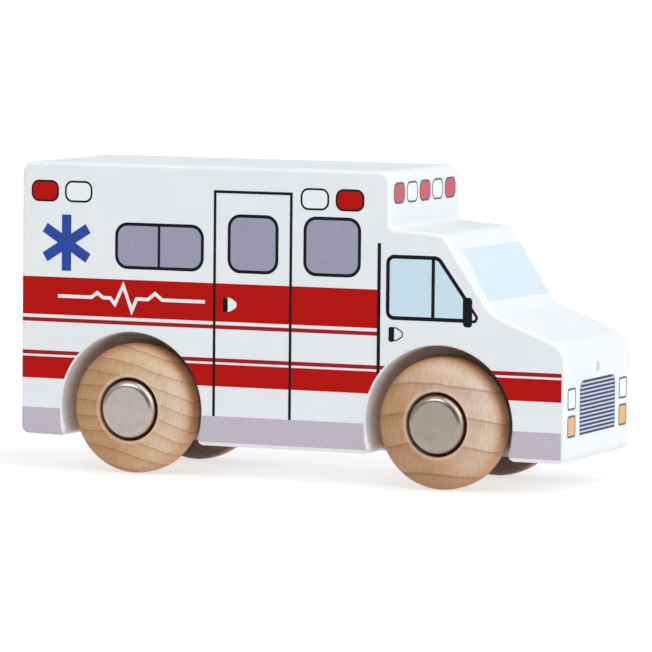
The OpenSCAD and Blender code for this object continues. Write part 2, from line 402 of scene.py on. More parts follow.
def beech(name, axle_x, tilt, ring_gap, ring_shift, tint, painted_shade_share, lit_side):
    """Beech cut across the grain: curved growth lines, fine rays square to them, painted shade on one side
    that lightens to painted light on the other, a pale ring around the recess that is partly sanded and
    partly a painted highlight, and a rim darkened partly by burnish and mostly by painted shade."""
    finish, shader = new_finish(name)
    centred = object_place(finish, offset=(-axle_x * MM, 0, -AXLE_Z * MM))
    grain_place = moved(finish, centred, offset=(0, 0, ring_shift * MM), turn=(0, math.radians(tilt), 0))

    from_heart = moved(finish, grain_place, offset=(0, 0, TREE_RADIUS * MM), stretch=RING_STRETCH)
    reach = worked_out(finish, "LENGTH", from_heart, kind="VectorMath")
    wander = mottle(finish, grain_place, grain=14, detail=2)
    swayed = worked_out(finish, "MULTIPLY_ADD", wander, RING_SWAY * MM, reach)
    season = worked_out(finish, "FRACT", worked_out(finish, "DIVIDE", swayed, ring_gap * MM))
    tones = [(position, Vector(tone) * Vector(tint)) for position, tone in YEAR_TONES]
    wood_and_shade = graded(finish, season, tones)

    rays = mottle(finish, moved(finish, grain_place, stretch=RAY_STRETCH), grain=0.2, detail=1)
    pores = mottle(finish, grain_place, grain=0.2, detail=1)
    blush = mottle(finish, grain_place, grain=6, detail=2)
    for noise, (marks, share) in ((rays, RAY_MARKS), (pores, PORE_MARKS), (blush, BLUSH_MARKS)):
        wood_and_shade = blended(finish, share, wood_and_shade, graded(finish, noise, marks), "MULTIPLY")

    # A painted gradient from shade to light across the face, which turns with the wheel
    lit_angle = math.radians(lit_side)
    lit_way = (math.cos(lit_angle), 0, math.sin(lit_angle))
    across = worked_out(finish, "DOT_PRODUCT", centred, lit_way, kind="VectorMath")
    toward_lit = share_between(finish, across, -WHEEL_RADIUS, WHEEL_RADIUS)
    wood_and_shade = blended(finish, painted_shade_share, wood_and_shade, graded(finish, toward_lit, SHADED_TO_LIT_TONES), "MULTIPLY")

    flattened = moved(finish, centred, stretch=(1, 0, 1))
    radius = worked_out(finish, "LENGTH", flattened, kind="VectorMath")
    # A pale ring around the recess: partly sanded wood, partly a painted highlight
    outside = share_between(finish, radius, RECESS_RADIUS - RECESS_RIM, RECESS_RADIUS + PALE_RING_REACH)
    wood_and_shade = blended(finish, graded(finish, outside, SANDED_RING_AND_HIGHLIGHT), wood_and_shade, SANDED_AND_HIGHLIT_WOOD)

    # The rim darkens towards the tread and inner face: partly burnish, mostly painted shade
    over_rim = share_between(finish, off_middle(finish, centred), WHEEL_OUTER, WHEEL_INNER)
    patches = ranged(finish, mottle(finish, grain_place, grain=3), *RIM_PATCHES)
    rim_burnish_and_shade = worked_out(finish, "MULTIPLY", outside, patches)
    wood_and_shade = blended(finish, rim_burnish_and_shade, wood_and_shade, graded(finish, over_rim, RIM_BURNISH_AND_SHADE_TONES), "MULTIPLY")
    plug_in(finish, shader, "Base Color", wood_and_shade)
    satin(finish, shader, rays, roughness=(0.42, 0.62), gloss=0.3)
    ridges = raised(finish, shader, season, depth=0.012)
    raised(finish, shader, rays, depth=0.02, below=ridges)
    return finish


# Metal

# Brown on the lower shoulder of each cap: a painted reflection of the wheel's wood
CAP_WOOD_REFLECTION = (0.24, 0.15, 0.1)
# Depths below a cap's face between which the painted reflection of the wood sets in
REFLECTION_START, REFLECTION_END = CAP_SHOULDER / 8, CAP_SHOULDER * 2 / 3
DULL_SHARE = 0.9
SCRATCH_TURN = (0, 0.6, 0)
SCRATCH_STRETCH = (0.05, 1, 1)


def plated_metal(name, colour, roughness, wood_reflection=None):
    """Bright plated metal with a satin bloom and hair-fine scratches, which may be tinted brown towards its
    foot as a painted reflection of the wheel's wood.
    """
    finish, shader = new_finish(name)
    place = object_place(finish)
    tone = patched(finish, mottle(finish, place, grain=2.5), Vector(colour) * DULL_SHARE, colour)
    # Brown towards the foot: a painted reflection of the wheel's wood
    if wood_reflection:
        start, end = CAP_TOP - REFLECTION_START, CAP_TOP - REFLECTION_END
        foot = share_between(finish, off_middle(finish, place), start, end, way="SMOOTHSTEP")
        tone = blended(finish, foot, tone, wood_reflection)
    plug_in(finish, shader, "Base Color", tone)
    plug_in(finish, shader, "Metallic", 1)
    plug_in(finish, shader, "Roughness", ranged(finish, mottle(finish, place, grain=1.2), *roughness))
    scratched = object_place(finish, turn=SCRATCH_TURN, stretch=SCRATCH_STRETCH)
    raised(finish, shader, mottle(finish, scratched, grain=0.12, detail=1), depth=0.0012)
    return finish


# Floor

FLOOR_SHADE, FLOOR_LIGHT = (0.33, 0.33, 0.33), (0.35, 0.35, 0.35)
FLOOR_GLOW = 0.67
FLOOR_ROUGHNESS = 0.9


def pale_floor():
    """A matt, very pale floor, lit from below as a light table is, so that shadows on it stay faint."""
    finish, shader = new_finish("pale_floor")
    tone = patched(finish, mottle(finish, object_place(finish), grain=60), FLOOR_SHADE, FLOOR_LIGHT)
    plug_in(finish, shader, "Base Color", tone)
    plug_in(finish, shader, "Emission Color", WHITE)
    plug_in(finish, shader, "Emission Strength", FLOOR_GLOW)
    plug_in(finish, shader, "Roughness", FLOOR_ROUGHNESS)
    plug_in(finish, shader, "Specular IOR Level", 0)
    return finish


WHITE_PAINT = white_paint()
ARCH_PAINT = arch_paint()
RED_INK = print_ink("red_ink", (0.405, 0.005, 0.003))
LINE_INK = print_ink("dark_red_ink", (0.31, 0.012, 0.015))
BLUE_INK = print_ink("blue_ink", (0.024, 0.064, 0.313))
BLACK_INK = print_ink("black_ink", (0.0095, 0.0085, 0.0135), spread=0.2)
WINDOW_INK = print_ink("window_grey_ink", (0.298, 0.288, 0.386), grain=0.22, spread=0.16)
GLASS_INK = print_ink("cab_glass_ink", (0.52, 0.668, 0.76), grain=0.25)
SCREEN_INK = print_ink("windscreen_ink", (0.555, 0.66, 0.76), spread=0.025)
SILL_INK = print_ink("sill_grey_ink", (0.474, 0.435, 0.502), grain=0.24, spread=0.08)
LENS_INK = print_ink("clear_lens_ink", (0.75, 0.77, 0.79), spread=0.02)
ORANGE_INK = print_ink("orange_ink", (0.70, 0.385, 0.185), spread=0.1)
PINK_RED_INK = print_ink("roof_lamp_red_ink", (0.53, 0.106, 0.133), spread=0.12)
TEAL_INK = print_ink("lamp_outline_ink", (0.088, 0.13, 0.145), spread=0.25)
BAR_INK = print_ink("grille_bar_ink", (0.045, 0.052, 0.1), spread=0.25)
GRILLE_INK = print_ink("grille_ground_ink", (0.5, 0.545, 0.68), spread=0.06)
PULSE_INK = print_ink("white_ink", (0.73, 0.745, 0.765), spread=0.03)
BADGE_INK = print_ink("pale_grey_ink", (0.53, 0.55, 0.60), spread=0.08)
CAP_ROUGHNESS = (0.18, 0.27)
# One nickel plate in two tones: painted darker on the front caps and lighter on the rear caps, as painted
# shade and light
CAP_PLATE = {
    "front": plated_metal("nickel_plate_painted_darker", (0.41, 0.36, 0.305), CAP_ROUGHNESS, CAP_WOOD_REFLECTION),
    "rear": plated_metal("nickel_plate_painted_lighter", (0.525, 0.46, 0.415), CAP_ROUGHNESS, CAP_WOOD_REFLECTION),
}
AXLE_STEEL = plated_metal("drawn_steel", (0.56, 0.56, 0.55), roughness=(0.25, 0.4))
SPRING_STEEL = plated_metal("spring_steel", (0.42, 0.42, 0.43), roughness=(0.3, 0.45))


# Making of pieces

def finish_piece(name, mesh, finishes, body, place=None, flat_area=None):
    """Turns a bmesh in millimetres into a piece of the part that rides on a body."""
    if place:
        bmesh.ops.transform(mesh, matrix=place, verts=mesh.verts)
    bmesh.ops.recalc_face_normals(mesh, faces=mesh.faces)
    for face in mesh.faces:
        face.smooth = flat_area is not None and face.calc_area() < flat_area
    bmesh.ops.scale(mesh, vec=(MM, MM, MM), verts=mesh.verts)
    data = bpy.data.meshes.new(name)
    mesh.to_mesh(data)
    mesh.free()
    for finish in finishes:
        data.materials.append(finish)
    piece = bpy.data.objects.new(name, data)
    bpy.context.scene.collection.objects.link(piece)
    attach(piece, body)
    return piece


def round_corner(mesh, vert, radius):
    """Rounds one corner of a flat face to an arc, and gives the arc's points."""
    back, ahead = [edge.other_vert(vert).co - vert.co for edge in vert.link_edges]
    turn = math.pi - back.angle(ahead)
    made = bmesh.ops.bevel(
        mesh, geom=[vert], offset=radius * math.tan(turn / 2), offset_type="ABSOLUTE", affect="VERTICES",
        segments=max(2, math.ceil(turn / ROUND_STEP)), profile=0.5, material=-1, clamp_overlap=False,
    )
    return made["verts"]


def rounded_face(mesh, corners):
    """A flat face with a rounded corner at each (across, up, radius)."""
    verts = [mesh.verts.new((across, up, 0)) for across, up, _ in corners]
    mesh.faces.new(verts)
    for vert, (_, _, radius) in zip(verts, corners):
        if radius:
            round_corner(mesh, vert, radius)
    mesh.normal_update()
    return mesh.faces[:][-1]


def box_corners(left, right, low, high, radius=0):
    """The corners of a rectangle, each with the same radius."""
    return [(left, low, radius), (right, low, radius), (right, high, radius), (left, high, radius)]


def centred_corners(across, up, size):
    """The corners of a rectangle of (width, height, radius) around its middle."""
    width, height, radius = size
    return box_corners(across - width / 2, across + width / 2, up - height / 2, up + height / 2, radius)


# The block

def arch_run(mesh, last, end, behind, ahead):
    """Edges over one wheel, on from the last vertex: a straight run up, an arc and a straight run down.
    The arch starts where the line behind meets its circle, and it ends on the line ahead."""
    axle = Vector((AXLE_X[end], AXLE_Z))
    foot = min(intersect_line_sphere_2d(*behind, axle, ARCH_RADIUS, False), key=lambda point: point.x)
    toe = max(intersect_line_sphere_2d(*ahead, axle, ARCH_RADIUS, False), key=lambda point: point.x)
    corners = [mesh.verts.new(point.to_3d()) for point in (foot, toe)]
    start = mesh.verts.new((axle + Matrix.Rotation(-ARCH_RUN, 2) @ (foot - axle)).to_3d())
    sweep = math.tau - (foot - axle).angle(toe - axle) - 2 * ARCH_RUN
    arc = bmesh.ops.spin(
        mesh, geom=[start], cent=axle.to_3d(), axis=(0, 0, 1), angle=-sweep, steps=ARCH_STEPS,
    )
    stop = next(item for item in arc["geom_last"] if isinstance(item, bmesh.types.BMVert))
    for pair in ((last, corners[0]), (corners[0], start), (stop, corners[1])):
        mesh.edges.new(pair)
    return corners


def arch_back(mesh, end, corners):
    """Rounds the two lower corners of an arch, and fills the wall at its back around the axle's bore."""
    feet = [min(round_corner(mesh, corner, ARCH_CORNER), key=lambda vert: vert.co.y) for corner in corners]
    near, far = (foot.co.x for foot in feet)
    crown = AXLE_Z + ARCH_RADIUS
    mouth = [
        edge for edge in mesh.edges
        if all(
            near - SAME_PLACE < vert.co.x < far + SAME_PLACE and vert.co.y < crown + SAME_PLACE
            for vert in edge.verts
        )
    ]
    mouth.append(mesh.edges.new(feet))
    axle = Matrix.Translation((AXLE_X[end], AXLE_Z, 0))
    bore = bmesh.ops.create_circle(mesh, radius=BORE_RADIUS, segments=BORE_STEPS, matrix=axle)
    ring = {edge for vert in bore["verts"] for edge in vert.link_edges}
    bmesh.ops.bridge_loops(mesh, edges=mouth + list(ring))


def with_bounds(faces):
    """Faces together with their edges and vertices."""
    return list({part for face in faces for part in (face, *face.edges, *face.verts)})


def pulled_out(mesh, faces, depth):
    """Extrudes a region of faces along z, and gives its faces at their new place."""
    pulled = bmesh.ops.extrude_face_region(mesh, geom=with_bounds(faces))["geom"]
    verts = [part for part in pulled if isinstance(part, bmesh.types.BMVert)]
    bmesh.ops.translate(mesh, verts=verts, vec=(0, 0, depth))
    return [part for part in pulled if isinstance(part, bmesh.types.BMFace)]


def widest(faces):
    """The face with the largest area."""
    return max(faces, key=lambda face: face.calc_area())


def side_view(mesh):
    """The block's outline as flat faces: its side, and the wall at the back of each arch."""
    tail = mesh.verts.new((TAIL_X, UNDERSIDE_Z + REAR_RISE, 0))
    bend = Vector((AXLE_X["rear"], UNDERSIDE_Z))
    nose = Vector((NOSE_X, UNDERSIDE_Z))
    arches = {"rear": arch_run(mesh, tail, "rear", (tail.co.xy, bend), (bend, nose))}
    arches["front"] = arch_run(mesh, arches["rear"][1], "front", (bend, nose), (bend, nose))
    upper_corners = [
        (NOSE_X, UNDERSIDE_Z, LOWER_CORNER), (NOSE_X, NOSE_Z, NOSE_CORNER),
        (BONNET_X, BONNET_Z, WINDSCREEN_HOLLOW), (CAB_FRONT_X, CAB_FRONT_Z, CAB_CORNER),
        (BOX_FRONT_X, CAB_Z, STEP_CORNER), (BOX_FRONT_X, ROOF_Z, BOX_CORNER), (TAIL_X, ROOF_Z, BOX_CORNER),
    ]
    last = arches["front"][1]
    rounding = [(tail, LOWER_CORNER)]
    for x, z, radius in upper_corners:
        corner = mesh.verts.new((x, z, 0))
        mesh.edges.new((last, corner))
        rounding.append((corner, radius))
        last = corner
    mesh.edges.new((last, tail))
    bmesh.ops.contextual_create(mesh, geom=mesh.edges[:])
    for corner, radius in rounding:
        round_corner(mesh, corner, radius)
    for end, corners in arches.items():
        arch_back(mesh, end, corners)


def block_mesh():
    """The block lying on its left side: x along it, y up it and z out of its right side."""
    mesh = bmesh.new()
    side_view(mesh)
    bmesh.ops.translate(mesh, verts=mesh.verts, vec=(0, 0, -ARCH_FLOOR))
    near_side = widest(mesh.faces)
    far_side = widest(pulled_out(mesh, mesh.faces[:], 2 * ARCH_FLOOR))
    depth = SIDE_Y - ARCH_FLOOR
    flanks = pulled_out(mesh, [near_side], -depth) + pulled_out(mesh, [far_side], depth)
    bmesh.ops.recalc_face_normals(mesh, faces=mesh.faces)
    rim = {edge for flank in flanks for edge in flank.edges}
    bmesh.ops.bevel(
        mesh, geom=list(rim), offset=SIDE_EDGE, offset_type="OFFSET", affect="EDGES",
        segments=EDGE_STEPS, profile=0.5, material=-1, clamp_overlap=False,
    )
    narrow_lips(mesh)
    bmesh.ops.recalc_face_normals(mesh, faces=mesh.faces)
    part_flanks(mesh)
    mark_faces(mesh)
    return mesh


def narrow_lips(mesh):
    """Narrows the eased edge at the mouth of each arch to a finer lip, above the arch's lower corners."""
    low, high = LIP_RISE
    for vert in mesh.verts:
        depth = SIDE_Y - abs(vert.co.z)
        rise = min(1, max(0, (vert.co.y - low) / (high - low)))
        shrink = 1 + rise * (ARCH_LIP / SIDE_EDGE - 1)
        for x in AXLE_X.values():
            arm = vert.co.xy - Vector((x, AXLE_Z))
            beyond = arm.length - ARCH_RADIUS
            if depth < SIDE_EDGE + SAME_PLACE and abs(beyond) < SIDE_EDGE + ARCH_LIP:
                place = Vector((x, AXLE_Z)) + arm.normalized() * (ARCH_RADIUS + beyond * shrink)
                side = math.copysign(SIDE_Y - depth * shrink, vert.co.z)
                vert.co = (*place, side)


def part_flanks(mesh):
    """Parts each side above the arches and at the axles, so that each of its faces has a simple outline."""
    cuts = [((0, AXLE_Z + ARCH_RADIUS + 2 * SIDE_EDGE, 0), (0, 1, 0))]
    cuts += [((x, 0, 0), (1, 0, 0)) for x in AXLE_X.values()]
    for at, across in cuts:
        flanks = [face for face in mesh.faces if abs(face.calc_center_median().z) > SIDE_Y - SAME_PLACE]
        bmesh.ops.bisect_plane(mesh, geom=with_bounds(flanks), dist=CUT_SLACK, plane_co=at, plane_no=across)


def mark_faces(mesh):
    """Marks how far each face is an eased edge, which gets rubbed paint and a painted highlight, and which
    faces lie inside the arches.
    """
    rubbed_and_highlit_edge = mesh.faces.layers.float.new("rubbed_and_highlit_edge")
    for face in mesh.faces:
        tilt = abs(face.normal.z)
        face[rubbed_and_highlit_edge] = 2 * tilt * math.sqrt(max(0, 1 - tilt * tilt))
        middle = face.calc_center_median()
        inside = near_axle(middle, ARCH_RADIUS + ARCH_LIP) and abs(middle.z) < SIDE_Y - SIDE_EDGE
        face.material_index = int(inside)


def near_axle(point, reach, behind=False):
    """True where a point of the block's side is within reach of an axle, or within reach behind it."""
    arms = [point.xy - Vector((x, AXLE_Z)) for x in AXLE_X.values()]
    return any(arm.length < reach and not (behind and arm.x > 0) for arm in arms)


UPRIGHT = Matrix.Rotation(QUARTER_TURN, 4, "X")
block = block_mesh()
body_paint = finish_piece(
    "painted_block", block.copy(), [WHITE_PAINT, ARCH_PAINT], "block", UPRIGHT, FLAT_AREA
)
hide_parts("body_block")


# Print that follows the block's side, over its eased edges

def side_skin(block_sides):
    """The block's right side and its eased edges as a sheet, without the rear lips of the arches."""
    sheet = block_sides.copy()
    lip = ARCH_RADIUS + SIDE_EDGE + PRINT_FILM
    others = [
        face for face in sheet.faces
        if face.calc_center_median().z < SIDE_Y - SIDE_EDGE or face.material_index
        or (face.calc_area() < FLAT_AREA and near_axle(face.calc_center_median(), lip, behind=True))
    ]
    bmesh.ops.delete(sheet, geom=others, context="FACES")
    return sheet


def cut_away(mesh, at, towards):
    """Cuts a sheet by a plane, and takes off what lies beyond it."""
    everything = mesh.verts[:] + mesh.edges[:] + mesh.faces[:]
    bmesh.ops.bisect_plane(
        mesh, geom=everything, dist=CUT_SLACK, plane_co=at, plane_no=towards, clear_outer=True,
    )


def side_band(name, height, reach, ink, layers=1):
    """A band of print on each side, between two heights and two distances along the block."""
    for side in (RIGHT, LEFT):
        band = skin.copy()
        for low, high, axis in ((*reach, Vector((1, 0, 0))), (*height, Vector((0, 1, 0)))):
            cut_away(band, axis * low, -axis)
            cut_away(band, axis * high, axis)
        for face in band.faces:
            face.material_index = 0
        band.normal_update()
        for vert in band.verts:
            vert.co += vert.normal * PRINT_FILM * layers
        bmesh.ops.solidify(band, geom=band.faces[:], thickness=PRINT_FILM * layers + PRINT_KEY)
        if side == LEFT:
            bmesh.ops.scale(band, vec=(1, 1, -1), verts=band.verts)
        piece_name = f"{name}_{SIDE_NAMES[side]}"
        finish_piece(piece_name, band, [ink], "block", UPRIGHT, BAND_FLAT_AREA)


skin = side_skin(block)
WHOLE_SIDE = (REAR_X, PRINT_FRONT_X)
BOX_SIDE = (REAR_X, CAB_LINE_X)
CAB_LINE_REACH = (CAB_LINE_X - CAB_LINE_WIDTH / 2, CAB_LINE_X + CAB_LINE_WIDTH / 2)
side_band("main_red_band", MAIN_BAND, BOX_SIDE, RED_INK)
side_band("upper_red_line", UPPER_LINE, BOX_SIDE, LINE_INK)
side_band("lower_red_line", LOWER_LINE, WHOLE_SIDE, LINE_INK)
side_band("lower_red_band", LOWER_BAND, WHOLE_SIDE, RED_INK)
side_band("grey_sill", SILL, WHOLE_SIDE, SILL_INK)
side_band("cab_door_line", (AXLE_Z, CAB_LINE_TOP), CAB_LINE_REACH, BLACK_INK, layers=2)
skin.free()
block.free()


# Flat print

def side_place(side):
    """Lays a flat print on a side: across it along x, up it along z."""
    return Matrix(((1, 0, 0, 0), (0, 0, side, side * SIDE_Y), (0, 1, 0, 0), (0, 0, 0, 1)))


def facing_place(x, way):
    """Lays a flat print on a face that looks forwards (1) or backwards (-1): across along y, up along z."""
    return Matrix(((0, 0, way, x), (1, 0, 0, 0), (0, 1, 0, 0), (0, 0, 0, 1)))


def windscreen_place():
    """Lays a flat print on the windscreen: across it along y, up it from the bonnet."""
    up = Vector((CAB_FRONT_X - BONNET_X, 0, CAB_FRONT_Z - BONNET_Z)).normalized()
    out = Vector((0, 1, 0)).cross(up)
    foot = Vector((BONNET_X, 0, BONNET_Z))
    return Matrix(((0, up.x, out.x, foot.x), (1, 0, 0, 0), (0, up.z, out.z, foot.z), (0, 0, 0, 1)))


NOSE_FACE = facing_place(NOSE_X, 1)
TAIL_FACE = facing_place(TAIL_X, -1)
BOX_FACE = facing_place(BOX_FRONT_X, 1)
SCREEN_FACE = windscreen_place()


def lay_print(name, mesh, inks, place, layers=1):
    """Gives flat faces their film of print and lays them on a face of the block."""
    bmesh.ops.translate(mesh, verts=mesh.verts, vec=(0, 0, -PRINT_KEY))
    pulled_out(mesh, mesh.faces[:], PRINT_KEY + layers * PRINT_FILM)
    return finish_piece(name, mesh, inks, "block", place)


def plain_print(name, corners, ink, place, layers=1):
    """A patch of one ink with rounded corners."""
    mesh = bmesh.new()
    rounded_face(mesh, corners)
    return lay_print(name, mesh, [ink], place, layers)


def framed_face(mesh, corners, line):
    """A flat face with a line of that width set off around it. Gives the face inside the line."""
    middle = rounded_face(mesh, corners)
    bmesh.ops.inset_region(mesh, faces=[middle], thickness=line, use_boundary=True, use_even_offset=True)
    return middle


def outlined_print(name, corners, line, inks, place):
    """A patch of one ink, the second, with a line of the first around it."""
    mesh = bmesh.new()
    framed_face(mesh, corners, line).material_index = 1
    return lay_print(name, mesh, inks, place)


def line_print(name, corners, line, ink, place, layers=1, ends_at=None):
    """A line of ink around an outline, which may end at a height instead of closing below."""
    mesh = bmesh.new()
    middle = framed_face(mesh, corners, line)
    bmesh.ops.delete(mesh, geom=[middle], context="FACES")
    if ends_at:
        cut_away(mesh, (0, ends_at, 0), (0, -1, 0))
    return lay_print(name, mesh, [ink], place, layers)


def star_corners(centre, arm, width, lean):
    """The outline of three crossed bars: two corners at each arm's end and one between each pair of arms."""
    halves = (QUARTER_TURN, -QUARTER_TURN)
    angles = sorted((step * lean + half) % math.tau for half in halves for step in (-1, 0, 1))
    corners = []
    for angle, following in zip(angles, angles[1:] + [angles[0] + math.tau]):
        along = Vector((math.cos(angle), math.sin(angle)))
        across = Vector((-along.y, along.x)) * width / 2
        half_gap = (following - angle) / 2
        between = Vector((math.cos(angle + half_gap), math.sin(angle + half_gap)))
        notch = between * width / 2 / math.sin(half_gap)
        corners += [centre + along * arm - across, centre + along * arm + across, centre + notch]
    return [(*corner, 0) for corner in corners]


def pulse_corners(points, width):
    """The outline of a zigzag line of that width, with mitred bends."""
    points = [Vector(point) for point in points]
    edges = [[], []]
    for before, here, after in zip([None] + points, points, points[1:] + [None]):
        into = (here - before).normalized() if before else (after - here).normalized()
        out = (after - here).normalized() if after else into
        mitre = (Vector((-into.y, into.x)) + Vector((-out.y, out.x))).normalized()
        reach = width / 2 / mitre.dot(Vector((-into.y, into.x)))
        edges[0].append(here - mitre * reach)
        edges[1].append(here + mitre * reach)
    return [(*corner, 0) for corner in edges[0] + edges[1][::-1]]


# Print on the flat of a side, by x and z
LAMP_LINE = 0.46
SIDE_LAMP = (7.02, 4.99, 1.9)
SIDE_LAMP_Z = 64.68
SIDE_LAMPS = {
    "rear_red_lamp": (-61.4, RED_INK), "rear_clear_lamp": (-52.83, LENS_INK),
    "middle_clear_lamp": (6.47, LENS_INK), "middle_red_lamp": (15.1, RED_INK),
}
WINDOW_LINE = 0.75
WINDOW_CORNER = 3.1
WINDOW_LOW = 47.25
# Left and right end and top of each window in the box
SIDE_WINDOWS = {
    "rear_window": (-43.44, -21.01, 57.97), "door_window": (-15.06, -2.42, 60.69),
    "middle_window": (3.76, 17.89, 60.77),
}
REAR_WINDOW_BAR = (-32.62, -32, 47.7, 57.5)
DOOR_LINE = 0.62
SIDE_DOOR = (-18.57, 0.99, SILL[0], 66.03)
CAB_WINDOW = [
    (24.1, 38.1, 1.9), (43.6, 38.1, 0.9), (43.6, 43.7, 0.9), (36.95, 52.78, 2.2), (24.1, 52.78, 1.9),
]
CAB_WINDOW_LINE = 0.88
CAB_WINDOW_BAR = (35.12, 35.92, 38.6, 52.2)
MIRROR = (42.81, 44.98, 37.09, 43.74, 0.8)
MIRROR_BRACKET = [(44.2, 38.1, 0), (45.9, 38.1, 0.7), (46.5, 39.4, 0.7), (45, 41.5, 0.4), (44.2, 41.5, 0)]
BRACKET_LINE = 0.62
HANDLE_PLATE = [
    (25.2, 33.3, 0), (26.7, 33.3, 1.2), (28.3, 34.3, 0.7),
    (28.3, 35.5, 0.7), (26.7, 36.45, 1.2), (25.2, 36.45, 0),
]
HANDLE_PLATE_LINE = 0.26
CAB_HANDLE = (24.83, 26.17, 33.13, 36.49, 0.5)
# The side door's handle, and its plate's place from the cab handle's plate
DOOR_HANDLE = (-16.09, -14.89, 38.27, 41.64, 0.5)
DOOR_PLATE_SHIFT = (-41.02, 5.12)
STAR_PLACE = Vector((-55.87, 52.79))
STAR_ARM = 6.5
STAR_BAR = 2.4
STAR_LEAN = math.radians(58)
# The pulse line's bends, by x and by height above the middle of the main band
PULSE = [
    (-58, 0), (-49.4, 0), (-47.9, 1.1), (-46.4, 0), (-44.6, 0), (-43.4, -1.4), (-41.3, 3), (-39.1, -2.8),
    (-37.9, 0), (-35, 0), (-33.2, 1.4), (-31.4, 0), (-20.6, 0),
]
PULSE_WIDTH = 0.8
PULSE_Z = sum(MAIN_BAND) / 2


def side_print(side):
    """Everything that is printed on the flat of one side."""
    place = side_place(side)
    tag = "_" + SIDE_NAMES[side]
    for name, (across, ink) in SIDE_LAMPS.items():
        lamp = centred_corners(across, SIDE_LAMP_Z, SIDE_LAMP)
        outlined_print(name + tag, lamp, LAMP_LINE, [BLACK_INK, ink], place)
    for name, (left, right, high) in SIDE_WINDOWS.items():
        window = box_corners(left, right, WINDOW_LOW, high, WINDOW_CORNER)
        outlined_print(name + tag, window, WINDOW_LINE, [BLACK_INK, WINDOW_INK], place)
    plain_print("rear_window_bar" + tag, box_corners(*REAR_WINDOW_BAR), BLACK_INK, place, layers=2)
    door = box_corners(*SIDE_DOOR)
    line_print("side_door_line" + tag, door, DOOR_LINE, BLACK_INK, place, layers=2, ends_at=SILL[1])
    outlined_print("cab_window" + tag, CAB_WINDOW, CAB_WINDOW_LINE, [BLACK_INK, GLASS_INK], place)
    plain_print("cab_window_bar" + tag, box_corners(*CAB_WINDOW_BAR), BLACK_INK, place, layers=2)
    plain_print("wing_mirror" + tag, box_corners(*MIRROR), BLACK_INK, place, layers=2)
    line_print("wing_mirror_bracket" + tag, MIRROR_BRACKET, BRACKET_LINE, BLACK_INK, place)
    line_print("cab_handle_plate" + tag, HANDLE_PLATE, HANDLE_PLATE_LINE, BLACK_INK, place)
    plain_print("cab_handle" + tag, box_corners(*CAB_HANDLE), BLACK_INK, place, layers=2)
    along, up = DOOR_PLATE_SHIFT
    door_plate = [(x + along, z + up, radius) for x, z, radius in HANDLE_PLATE]
    plain_print("side_door_handle_plate" + tag, door_plate, PULSE_INK, place, layers=2)
    plain_print("side_door_handle" + tag, box_corners(*DOOR_HANDLE), BLACK_INK, place, layers=3)
    star = star_corners(STAR_PLACE, STAR_ARM, STAR_BAR, STAR_LEAN)
    plain_print("six_arm_star" + tag, star, BLUE_INK, place)
    pulse = pulse_corners([(x, PULSE_Z + z) for x, z in PULSE], PULSE_WIDTH)
    plain_print("pulse_line" + tag, pulse, PULSE_INK, place, layers=2)


# Print on the nose, the front of the box and the windscreen, by y and by height
NOSE_LAMP = (5.11, 4.98, 0.8)
NOSE_LAMP_Y = 16.68
NOSE_LAMPS = {"headlamp": (21.73, LENS_INK), "indicator": (15.56, ORANGE_INK)}
GRILLE_HALF = 11.35
GRILLE_LOW, GRILLE_HIGH = 13.2, 25.35
GRILLE_CORNER = 2
GRILLE_LINE = 0.22
GRILLE_COUNT = 14
GRILLE_PITCH = 0.893
GRILLE_BAR = 0.48
# How far the top bars stop short of the grille's side, as shares of its corner's radius, from the top down
TOP_BARS = (0.9, 0.25)
BADGE = (2.3, 2.4, 0.8)
BADGE_Z = 27.85
ROOF_LAMP = (6.6, 4.86, 1.8)
ROOF_LAMP_Z = 66.39
ROOF_LAMP_PITCH = 7.7
ROOF_LAMP_LINE = 0.44
ROOF_LAMP_INKS = (PINK_RED_INK, LENS_INK, PINK_RED_INK, LENS_INK, PINK_RED_INK)
SCREEN = [(-18.2, 2.9, 0.5), (19.5, 2.6, 0.5), (19.9, 16.4, 0.5), (-15.3, 16.7, 0.5)]


def grille_print():
    """A pale ground with a fine line around it, and dark bars across it."""
    left, right = FRONT_PRINT_Y - GRILLE_HALF, FRONT_PRINT_Y + GRILLE_HALF
    ground = [
        (left, GRILLE_LOW, 0), (right, GRILLE_LOW, 0),
        (right, GRILLE_HIGH, GRILLE_CORNER), (left, GRILLE_HIGH, GRILLE_CORNER),
    ]
    outlined_print("grille_ground", ground, GRILLE_LINE, [BAR_INK, GRILLE_INK], NOSE_FACE)
    shares = [0] * (GRILLE_COUNT - len(TOP_BARS)) + list(reversed(TOP_BARS))
    bars = bmesh.new()
    for step, share in enumerate(shares):
        inset = GRILLE_CORNER * share
        foot = GRILLE_LOW + step * GRILLE_PITCH
        rounded_face(bars, box_corners(left + inset, right - inset, foot, foot + GRILLE_BAR))
    lay_print("grille_bars", bars, [BAR_INK], NOSE_FACE, layers=2)


